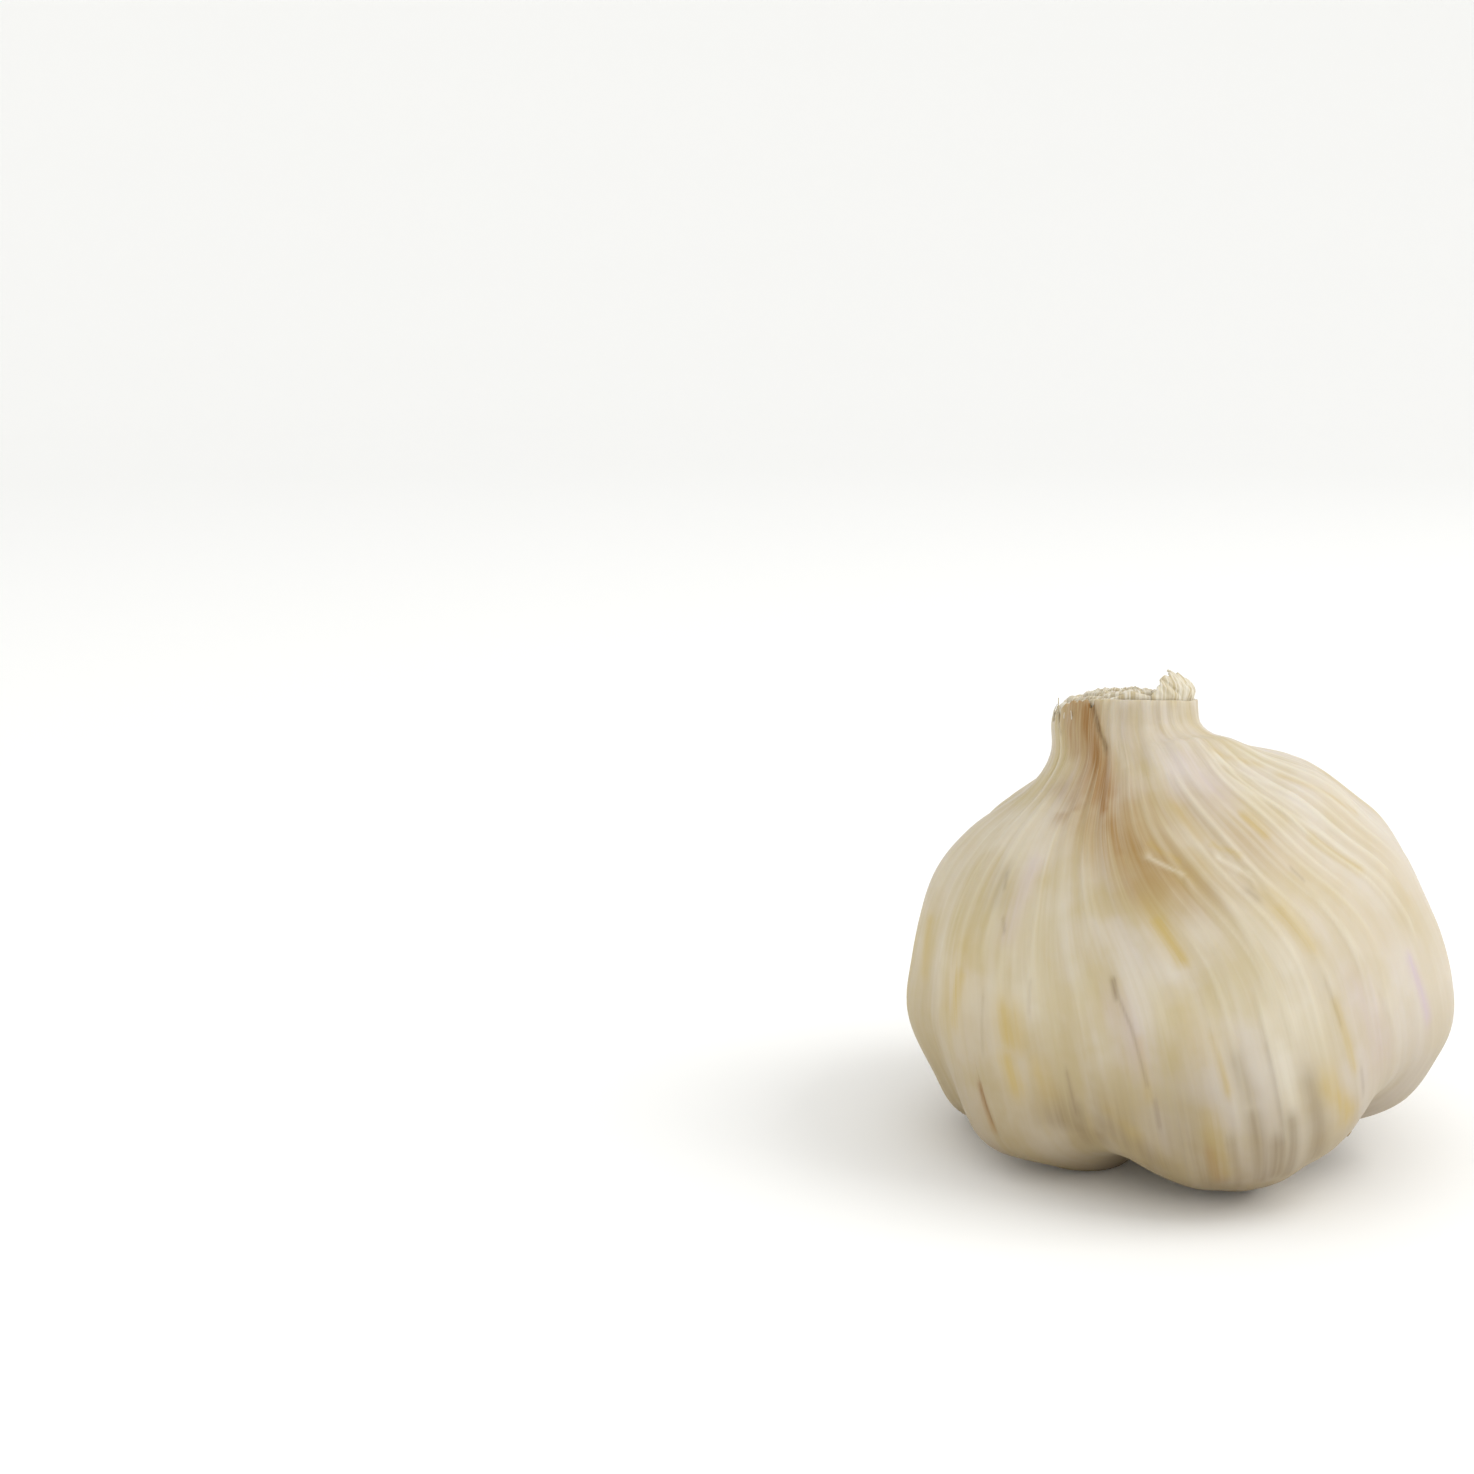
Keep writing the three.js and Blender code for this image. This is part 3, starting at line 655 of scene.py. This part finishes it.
def garlicSkin():
    f = skinFinish
    material = bpy.data.materials.new("dryGarlicSkin")
    material.use_nodes = True
    tree = material.node_tree
    shader = tree.nodes["Principled BSDF"]
    veins = addNode(tree, "ShaderNodeAttribute", attribute_name="veins").outputs["Vector"]
    stainsAndShade = addNode(tree, "ShaderNodeAttribute", attribute_name="stainsAndShade")
    lines = addNode(tree, "ShaderNodeAttribute", attribute_name="lines")
    stain = addNode(tree, "ShaderNodeSeparateColor", {0: stainsAndShade.outputs["Color"]})
    line = addNode(tree, "ShaderNodeSeparateColor", {0: lines.outputs["Color"]})
    where = addNode(tree, "ShaderNodeTexCoord").outputs["Object"]
    # bands about 8 mm wide, streaks 2 mm wide and fibres 0.6 mm wide at the widest girth, where
    # one unit of the direction around is 28 mm; real fibres are finer than the render can show
    bands, streak, fibre = (
        addNode(tree, "ShaderNodeTexNoise", {
            "Vector": addNode(tree, "ShaderNodeMapping", {"Vector": veins, "Scale": scale}).outputs[0],
            "Scale": 1.0, "Detail": detail, "Roughness": 0.55,
        })
        for scale, detail in (((3.5, 3.5, 3), 2), ((14, 14, 4.5), 2), ((48, 48, 7), 2))
    )
    spot = addNode(tree, "ShaderNodeSeparateXYZ", {0: where})
    # soft clouds about 8 mm across
    cloud = addNode(tree, "ShaderNodeTexNoise", {"Vector": where, "Scale": 125.0, "Detail": 3.0})
    bandShare = shareOf(tree, bands.outputs["Fac"], 0.38, 0.62)
    colour = mixIn(tree, linear(f["cream"]), bandShare, f["blush"])
    layers = [  # value, where the tint starts and is full, its most and the tint
        (cloud.outputs["Fac"], 0.5, 0.66, 0.6, f["straw"]),
        (cloud.outputs["Fac"], 0.48, 0.34, 0.55, f["white"]),
        (streak.outputs["Fac"], 0.5, 0.68, 0.3, f["white"]),
        (streak.outputs["Fac"], 0.5, 0.32, 0.28, f["straw"]),
        (fibre.outputs["Fac"], 0.52, 0.75, 0.14, f["white"]),
        (fibre.outputs["Fac"], 0.48, 0.25, 0.16, f["straw"]),
        # painted highlight on the raised relief, and painted shade in its hollows
        (lines.outputs["Alpha"], 0.52, 0.85, 0.38, f["pale"]),
        (lines.outputs["Alpha"], 0.45, 0.1, 0.28, f["straw"]),
        (spot.outputs["X"], 0.0, 0.03, 0.6, f["blush"]),
        (spot.outputs["X"], 0.0, -0.028, 0.3, f["straw"]),
    ]
    for value, low, high, most, tint in layers:
        colour = mixIn(tree, colour, shareOf(tree, value, low, high, most=most), tint)
    # the feet are duller and browner towards the floor: partly soil, and partly painted shade
    for top, most in f["footSoilAndShadeTops"]:
        colour = mixIn(tree, colour, shareOf(tree, spot.outputs["Z"], top, 0.0, most=most), f["foot"])
    # each stain, and each line of painted shade, is broken up along the fibres, so that its edge isn't
    # smooth
    broken = shareOf(tree, fibre.outputs["Fac"], 0.3, 0.62, least=0.55, most=1.1)
    stainAndShadeLayers = [
        (stain.outputs[2], 0.75, f["pink"]),
        (stain.outputs[1], 0.72, f["yellow"]),
        # grey: grey streaks, and painted shade in the valley between the front feet
        (stainsAndShade.outputs["Alpha"], 0.6, f["grey"]),
        (line.outputs[2], 0.6, f["lilac"]),
        (stain.outputs[0], 1, f["rust"]),
        (line.outputs[1], 0.6, f["pale"]),
        # dark: painted shade in slits and creases, and a few specks
        (line.outputs[0], 0.55, f["dark"]),
    ]
    for strength, most, tint in stainAndShadeLayers:
        colour = mixIn(tree, colour, times(tree, times(tree, strength, broken), most, use_clamp=True), tint)
    rough = shareOf(tree, streak.outputs["Fac"], 0.3, 0.7, *f["roughness"])
    bump = addNode(tree, "ShaderNodeBump", {
        "Height": fibre.outputs["Fac"], "Strength": f["fibreBump"], "Distance": 0.0002,
    })
    tree.links.new(colour, shader.inputs["Base Color"])
    tree.links.new(rough, shader.inputs["Roughness"])
    tree.links.new(bump.outputs["Normal"], shader.inputs["Normal"])
    shader.inputs["IOR"].default_value = 1.45
    shader.inputs["Subsurface Weight"].default_value = 0.12
    shader.inputs["Subsurface Radius"].default_value = (0.0012, 0.0008, 0.0004)
    shader.inputs["Subsurface Scale"].default_value = 1.0
    return material


# the neck: dry leaf sheaths pressed together at the cut
neckSheaths = {
    "around": 320,
    "radii": [6.98, 6.15, 5.2, 4.3, 3.35, 2.35, 1.3],
    "thickness": 0.66,
    "rim": 46.1,
    "floor": 42.3,
    "rise": 0.6,
    "ragged": [(13, 0.35), (70, 0.14)],  # columns and height of the ragged tops
    "shifted": [(11, 0.22, 90), (60, 0.05, 99)],  # columns, width and seed of each sheath's waves
    "squeezed": 0.4,
    "lowLeft": 1.6,
}


def buildSheaths(material):
    n = neckSheaths
    # the profile goes along the floor, then up, over and down each sheath in turn
    profile = [(0.0, 0, 0.0), (n["radii"][0] * 0.6, 0, 0.0)]
    for k, radius in enumerate(n["radii"]):
        inner = radius - n["thickness"]
        for up in (0.0 if k == 0 else 0.72, 0.8, 0.88, 0.96):
            profile.append((radius, k, up))
        profile.append(((radius + inner) / 2, k, 1.0))
        for up in (0.96, 0.88, 0.8, 0.72):
            profile.append((inner, k, up))
    profile.append((0.0, len(n["radii"]), 0.8))
    mesh, ring, angle = spinTube(len(profile), n["around"])
    radius, layer, up = (np.array([spot[k] for spot in profile], float)[ring] for k in range(3))
    wide = np.clip(radius / n["radii"][0], 0, 1)
    tops, shifts = np.zeros(len(angle)), np.zeros(len(angle))
    for k in range(len(n["radii"]) + 1):
        own = layer == k
        top = n["rise"] + 0.05 * k + 0.15 * math.sin(k * 2.1)
        for turn, (columns, tall) in enumerate(n["ragged"]):
            top = top + tall * raggedness(angle, columns, 50 + k + 20 * turn)
        top = top - n["lowLeft"] * wide**2 * (0.5 - 0.5 * np.cos(angle)) ** 3
        shift = sum(width * raggedness(angle, columns, seed + k) for columns, width, seed in n["shifted"])
        tops[own], shifts[own] = top[own], shift[own]
    squeeze = n["squeezed"] * (np.cos(2 * angle + 0.6) + 0.6 * np.cos(3 * angle - 1))
    # the outermost sheath and the middle keep their places, and the others bend between them
    bent = squeeze * wide * (1 - wide) * 2 + shifts * (1 - wide**4)
    r = radius * (1 - 0.03 * (1 - up)) + bent * (radius > 0.01)
    h = n["floor"] + up * (n["rim"] - n["floor"] + tops)
    setSpots(mesh, inFrame(leanOver(np.maximum(r, 0), angle, h)))
    addVeins(mesh, angle, up + layer * 3.1)
    # browner deeper down on the inner sheaths: painted shade in the gaps between them
    addLeafBrownAndShade(mesh, 0.25 + 0.75 * smoothStep(1 - up, 0.04, 0.4) * (layer > 0))
    piece = addPiece("neckSheaths", mesh, material)
    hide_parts("neck_layers")
    return piece


# the loose end of a leaf that stands up at the right of the cut and leans over it
neckFlap = {
    "columns": 150,
    "rows": 36,
    "from": -66,
    "to": 52,
    "base": 7.1,
    "thickness": 0.22,
    "heights": [0.7, 2.4, 3.1, 2.9, 2.1, 1.6, 1.4, 1.1, 0.8],  # above the rim, from one end to the other
    "bow": 0.35,
    "curl": -1.8,
    "sunk": 1.6,
    "ragged": [(60, 0.25, 41), (170, 0.12, 42)],  # columns, height and seed of its top edge
    "pleats": [(11, 0.25), (30, 0.1)],  # columns and depth
}


def buildFlap(material):
    n = neckFlap
    shape = bmesh.new()
    bmesh.ops.create_grid(shape, x_segments=n["columns"], y_segments=n["rows"], size=1)
    mesh = bpy.data.meshes.new("flap")
    shape.to_mesh(mesh)
    shape.free()
    spots = readSpots(mesh)
    across, up = (spots[:, 0] + 1) / 2, (spots[:, 1] + 1) / 2
    angle = np.radians(n["from"] + (n["to"] - n["from"]) * across)
    crest = np.interp(across, np.linspace(0, 1, len(n["heights"])), n["heights"])
    for columns, tall, seed in n["ragged"]:
        crest = crest + tall * raggedness(angle, columns, seed)
    height = neckSheaths["rim"] - n["sunk"] + up * (n["sunk"] + crest)
    free = np.clip(height - neckSheaths["rim"] - 0.2, 0, None) / 3
    fold = sum(
        deep * raggedness(angle * 4 + 2 * free, columns, 43 + columns) for columns, deep in n["pleats"]
    ) * np.clip(free * 3, 0, 1)
    radius = n["base"] + n["bow"] * np.sin(np.pi * np.clip(free, 0, 1)) + n["curl"] * free**1.6 + fold
    setSpots(mesh, inFrame(leanOver(radius, angle, height)))
    addVeins(mesh, angle, up * 0.3)
    # browner at and below the rim: painted shade where the flap stands down in the cut
    addLeafBrownAndShade(mesh, 0.12 + 0.5 * (1 - smoothStep(height, 45.4, 46.6)))
    shape = bmesh.new()
    shape.from_mesh(mesh)
    bmesh.ops.solidify(shape, geom=shape.faces, thickness=n["thickness"] / 1000)
    bmesh.ops.recalc_face_normals(shape, faces=shape.faces)
    shape.to_mesh(mesh)
    shape.free()
    return addPiece("neckFlap", mesh, material)


# loose fibres of the torn leaves at the left of the neck
neckFibres = {
    "count": 18,
    "from": -176,
    "to": -118,
    "thick": 0.11,
    "tip": 0.05,
    "radius": 7.4,
    "start": (41.5, 43.5),  # height
    "over": (-1.6, -0.1),  # above the rim
    "bent": (-0.25, 0.35),
    "aside": (-0.2, 0.15),
    "steps": 6,
    "seed": 81,
}


def buildFibres(material):
    n = neckFibres
    luck = np.random.default_rng(n["seed"])
    shape = bmesh.new()
    for _ in range(n["count"]):
        turn, over = luck.uniform(n["from"], n["to"]), luck.uniform(*n["over"])
        start, bent, aside = (luck.uniform(*n[key]) for key in ("start", "bent", "aside"))
        path = []
        for k in range(n["steps"] + 1):
            t = k / n["steps"]
            height = start + (neckSheaths["rim"] + over - start) * t
            radius = n["radius"] + aside + 0.12 * math.sin(3 * t) + bent * t**3 * 1.5
            radius += (44 - start) * 0.1 * (1 - t)  # the neck is wider lower down
            at = math.radians(turn + 3 * bent * t * t)
            path.append((radius * math.cos(at), radius * math.sin(at), height))
        growStrand(shape, path, n["thick"] * luck.uniform(0.6, 1.2), n["tip"])
    mesh = bpy.data.meshes.new("fibres")
    placeStrands(mesh, shape)
    addLeafBrownAndShade(mesh, 0.2)
    return addPiece("neckFibres", mesh, material)


# dried leaf sheath: fibrous, chalky at the cut, straw-coloured between the fibres
leafFinish = {
    "straw": "#c5b895",
    "chalk": "#e0dacb",
    "ash": "#b3a58a",
    "brown": "#82663f",
    "roughness": 0.7,
    "fibreBump": 0.4,
}


def addLeafBrownAndShade(mesh, leafBrownAndShade):
    # how brown the leaf is, from 0 on a fresh edge to 1 deep between the sheaths: a little of it the leaf's
    # own browning, the rest painted shade in the gaps between the sheaths and low on the flap
    layer = mesh.attributes.new("leafBrownAndShade", "FLOAT", "POINT")
    layer.data.foreach_set("value", (np.zeros(len(mesh.vertices)) + leafBrownAndShade).astype(np.float32))


def leafSheath():
    f = leafFinish
    material = bpy.data.materials.new("driedLeafSheath")
    material.use_nodes = True
    tree = material.node_tree
    shader = tree.nodes["Principled BSDF"]
    veins = addNode(tree, "ShaderNodeAttribute", attribute_name="veins").outputs["Vector"]
    leafBrownAndShade = addNode(tree, "ShaderNodeAttribute", attribute_name="leafBrownAndShade").outputs["Fac"]
    # fibres 0.3 mm apart at the neck, where one unit of the direction around is 7 mm
    fibre, patch = (
        addNode(tree, "ShaderNodeTexNoise", {
            "Vector": addNode(tree, "ShaderNodeMapping", {"Vector": veins, "Scale": scale}).outputs[0],
            "Scale": 1.0, "Detail": 3.0,
        })
        for scale in ((24, 24, 1.4), (6, 6, 2.2))
    )
    colour = mixIn(tree, linear(f["straw"]), shareOf(tree, fibre.outputs["Fac"], 0.35, 0.6), f["chalk"])
    for value, low, high, tint in (
        (patch.outputs["Fac"], 0.45, 0.6, f["ash"]), (fibre.outputs["Fac"], 0.6, 0.35, f["brown"]),
    ):
        share = times(tree, shareOf(tree, value, low, high), leafBrownAndShade, use_clamp=True)
        colour = mixIn(tree, colour, share, tint)
    bump = addNode(tree, "ShaderNodeBump", {
        "Height": fibre.outputs["Fac"], "Strength": f["fibreBump"], "Distance": 0.00015,
    })
    tree.links.new(colour, shader.inputs["Base Color"])
    tree.links.new(bump.outputs["Normal"], shader.inputs["Normal"])
    shader.inputs["Roughness"].default_value = f["roughness"]
    shader.inputs["IOR"].default_value = 1.45
    shader.inputs["Subsurface Weight"].default_value = 0.1
    shader.inputs["Subsurface Radius"].default_value = (0.0008, 0.0006, 0.0003)
    shader.inputs["Subsurface Scale"].default_value = 1.0
    return material


# the root plate with its trimmed roots, and the one root that comes out between two cloves
rootPlate = {
    "radius": 5.9,
    "top": 5.9,
    "bottom": 3.6,
    "roots": 96,
    "thick": 0.24,
    "tip": 0.1,
    "long": (1.6, 3.4),
    "curl": (-0.5, 0.9),
    "swing": (-0.5, 0.5),
    "steps": 5,
    "seed": 61,
    "profile": [  # shares of the radius and of the height, from the top's middle to the bottom's
        (0, 1), (0.5, 1), (0.85, 0.9), (0.97, 0.65), (1, 0.4),
        (0.93, 0.12), (0.8, 0), (0.5, -0.05), (0.25, 0.02), (0, 0.1),
    ],
    "strandRadius": 0.15,
    "strandTip": 0.08,
    "strandPath": [  # radius, angle and height
        (3.6, -41, 4.4), (7.6, -41, 2.9), (11.6, -41, 0.9), (15.5, -41, -0.4), (18.4, -42, -0.5),
        (20, -44, -0.6), (21.2, -45, -0.4), (21.8, -45, 0.2), (21.6, -44, 0.9),
    ],
}


def growStrand(shape, path, thick, tip, sides=5):
    # a long thin cone, cut into steps and laid along the path
    path = [Vector(spot) for spot in path]
    known = len(shape.verts)
    bmesh.ops.create_cone(
        shape, cap_ends=True, segments=sides, radius1=thick, radius2=tip, depth=1,
    )
    upright = {
        e for v in list(shape.verts)[known:] for e in v.link_edges
        if abs(e.verts[0].co.z - e.verts[1].co.z) > 0.5
    }
    bmesh.ops.subdivide_edges(shape, edges=list(upright), cuts=len(path) - 2)
    for v in list(shape.verts)[known:]:
        step = round((v.co.z + 0.5) * (len(path) - 1))
        before, after = path[max(step - 1, 0)], path[min(step + 1, len(path) - 1)]
        ahead = (after - before).normalized()
        other = Vector((0.3, 0.2, 1)) if abs(ahead.z) < 0.9 else Vector((1, 0.2, 0))
        aside = ahead.cross(other).normalized()
        v.co = path[step] + aside * v.co.x + ahead.cross(aside) * v.co.y


def placeStrands(mesh, shape):
    shape.to_mesh(mesh)
    shape.free()
    spots = readSpots(mesh)
    radius, angle = np.hypot(spots[:, 0], spots[:, 1]), np.arctan2(spots[:, 1], spots[:, 0])
    setSpots(mesh, inFrame(leanOver(radius, angle, spots[:, 2])))
    addVeins(mesh, angle, spots[:, 2] / 10)


def buildRoots(material):
    n = rootPlate
    luck = np.random.default_rng(n["seed"])
    # the plate: a shallow dish, rough around its edge
    tall = n["top"] - n["bottom"]
    mesh, ring, angle = spinTube(len(n["profile"]), 96)
    radius, up = (np.array([spot[k] for spot in n["profile"]], float)[ring] for k in range(2))
    rough = 1 + 0.05 * raggedness(angle, 24, 62) + 0.03 * raggedness(angle, 60, 63)
    height = n["bottom"] + tall * up + 0.15 * streaks(angle, radius * 5, 20, 5, 64, top=5) * (radius > 0)
    setSpots(mesh, inFrame(leanOver(n["radius"] * radius * rough, angle, height)))
    addVeins(mesh, angle, radius)
    plate = addPiece("rootPlate", mesh, material)
    shape = bmesh.new()
    for i in range(n["roots"]):
        share = math.sqrt((i + 0.5) / n["roots"])
        turn = i * 2.4 + luck.uniform(-0.15, 0.15)
        start = n["radius"] * 0.88 * share
        long = luck.uniform(*n["long"])
        splay = 0.25 + 0.6 * share + luck.uniform(-0.15, 0.15)
        curl, swing = luck.uniform(*n["curl"]), luck.uniform(*n["swing"])
        path = []
        for k in range(n["steps"] + 1):
            t = k / n["steps"]
            away = start + long * (splay * t + 0.35 * curl * t * t)
            down = n["bottom"] + 0.35 - long * 0.72 * t * (1 - 0.25 * curl * t)
            at = turn + swing * t * 0.3
            path.append((away * math.cos(at), away * math.sin(at), down))
        growStrand(shape, path, n["thick"] * luck.uniform(0.7, 1.15), n["tip"])
    rootMesh = bpy.data.meshes.new("roots")
    placeStrands(rootMesh, shape)
    roots = addPiece("trimmedRoots", rootMesh, material)
    shape = bmesh.new()
    spots = n["strandPath"]
    fine = np.linspace(0, len(spots) - 1, 40)
    away, turn, high = (np.interp(fine, range(len(spots)), [spot[k] for spot in spots]) for k in range(3))
    path = zip(away * np.cos(np.radians(turn)), away * np.sin(np.radians(turn)), high)
    growStrand(shape, path, n["strandRadius"], n["strandTip"], sides=6)
    strandMesh = bpy.data.meshes.new("strand")
    placeStrands(strandMesh, shape)
    strand = addPiece("longRoot", strandMesh, material)
    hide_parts("root_plate")
    return plate, roots, strand


# dried root: woody fibre, grey brown, matt
rootFinish = {
    "dark": "#5d4526",
    "light": "#a78f66",
    "roughness": 0.85,
    "patchBump": 0.6,
}


def rootFibre():
    f = rootFinish
    material = bpy.data.materials.new("driedRootFibre")
    material.use_nodes = True
    tree = material.node_tree
    shader = tree.nodes["Principled BSDF"]
    where = addNode(tree, "ShaderNodeTexCoord").outputs["Object"]
    # soil and bark patches about 1.5 mm across
    patch = addNode(tree, "ShaderNodeTexNoise", {"Vector": where, "Scale": 700.0, "Detail": 4.0})
    colour = mixIn(tree, linear(f["dark"]), shareOf(tree, patch.outputs["Fac"], 0.38, 0.62), f["light"])
    bump = addNode(tree, "ShaderNodeBump", {
        "Height": patch.outputs["Fac"], "Strength": f["patchBump"], "Distance": 0.0002,
    })
    tree.links.new(colour, shader.inputs["Base Color"])
    tree.links.new(bump.outputs["Normal"], shader.inputs["Normal"])
    shader.inputs["Roughness"].default_value = f["roughness"]
    return material


# the floor, the light and the camera
studio = {
    "floor": "#fafaf8",
    "wallFrom": 0.8,
    "wallHeight": 0.45,
    "wallSteps": 8,
    "world": 0.9,
    "lights": [  # place, size and watts
        ((0.5, 0.0, 0.55), 0.45, 2.2),
        ((-0.5, -0.5, 0.35), 0.6, 0.4),
    ],
}


def buildStudio():
    s = studio
    shape = bmesh.new()
    bmesh.ops.create_circle(shape, cap_ends=False, segments=96, radius=s["wallFrom"])
    ring = list(shape.edges)
    bmesh.ops.contextual_create(shape, geom=ring)
    for k in range(1, s["wallSteps"] + 1):
        # the floor curves up into a wall, far behind the bulb
        bend = k / s["wallSteps"] * math.pi / 2
        grown = bmesh.ops.extrude_edge_only(shape, edges=ring)
        verts = [g for g in grown["geom"] if isinstance(g, bmesh.types.BMVert)]
        ring = [g for g in grown["geom"] if isinstance(g, bmesh.types.BMEdge)]
        for v in verts:
            away = s["wallFrom"] + s["wallHeight"] * math.sin(bend)
            v.co = Vector((v.co.x, v.co.y, 0)).normalized() * away
            v.co.z = s["wallHeight"] * (1 - math.cos(bend))
    bmesh.ops.recalc_face_normals(shape, faces=shape.faces)
    bmesh.ops.reverse_faces(shape, faces=shape.faces)
    mesh = bpy.data.meshes.new("floor")
    shape.to_mesh(mesh)
    shape.free()
    for face in mesh.polygons:
        face.use_smooth = True
    floor = bpy.data.objects.new("floor", mesh)
    bpy.context.scene.collection.objects.link(floor)
    material = bpy.data.materials.new("mattPaintedBackdrop")
    material.use_nodes = True
    shader = material.node_tree.nodes["Principled BSDF"]
    shader.inputs["Base Color"].default_value = linear(s["floor"])
    shader.inputs["Roughness"].default_value = 0.9
    mesh.materials.append(material)
    for number, (place, size, watts) in enumerate(s["lights"]):
        light = bpy.data.lights.new(f"softbox{number}", "AREA")
        light.size, light.energy = size, watts
        lamp = bpy.data.objects.new(light.name, light)
        lamp.location = place
        lamp.rotation_euler = (Vector((0, 0, 0.02)) - Vector(place)).to_track_quat("-Z", "Y").to_euler()
        bpy.context.scene.collection.objects.link(lamp)
    world = bpy.data.worlds.new("studio")
    world.use_nodes = True
    world.node_tree.nodes["Background"].inputs["Color"].default_value = (1, 1, 1, 1)
    world.node_tree.nodes["Background"].inputs["Strength"].default_value = s["world"]
    bpy.context.scene.world = world
    bpy.context.scene.view_settings.view_transform = "Standard"


def buildCamera():
    c = camera
    lens = bpy.data.cameras.new("view")
    lens.lens, lens.sensor_width = c["lens"], c["sensor"]
    lens.sensor_fit = "HORIZONTAL"
    lens.clip_start, lens.clip_end = 0.01, 20
    view = bpy.data.objects.new("view", lens)
    view.location = [v / 1000 for v in c["place"]]
    view.rotation_euler = (math.radians(90 - c["down"]), 0, math.radians(c["left"]))
    bpy.context.scene.collection.objects.link(view)
    bpy.context.scene.camera = view


buildCamera()
buildStudio()
print("studio: camera, floor and lights")
skinMaterial = garlicSkin()
leafMaterial = leafSheath()
rootMaterial = rootFibre()
buildSkin(skinMaterial)
buildSheaths(leafMaterial)
buildFlap(leafMaterial)
buildFibres(leafMaterial)
buildRoots(rootMaterial)
print("pieces: all built")
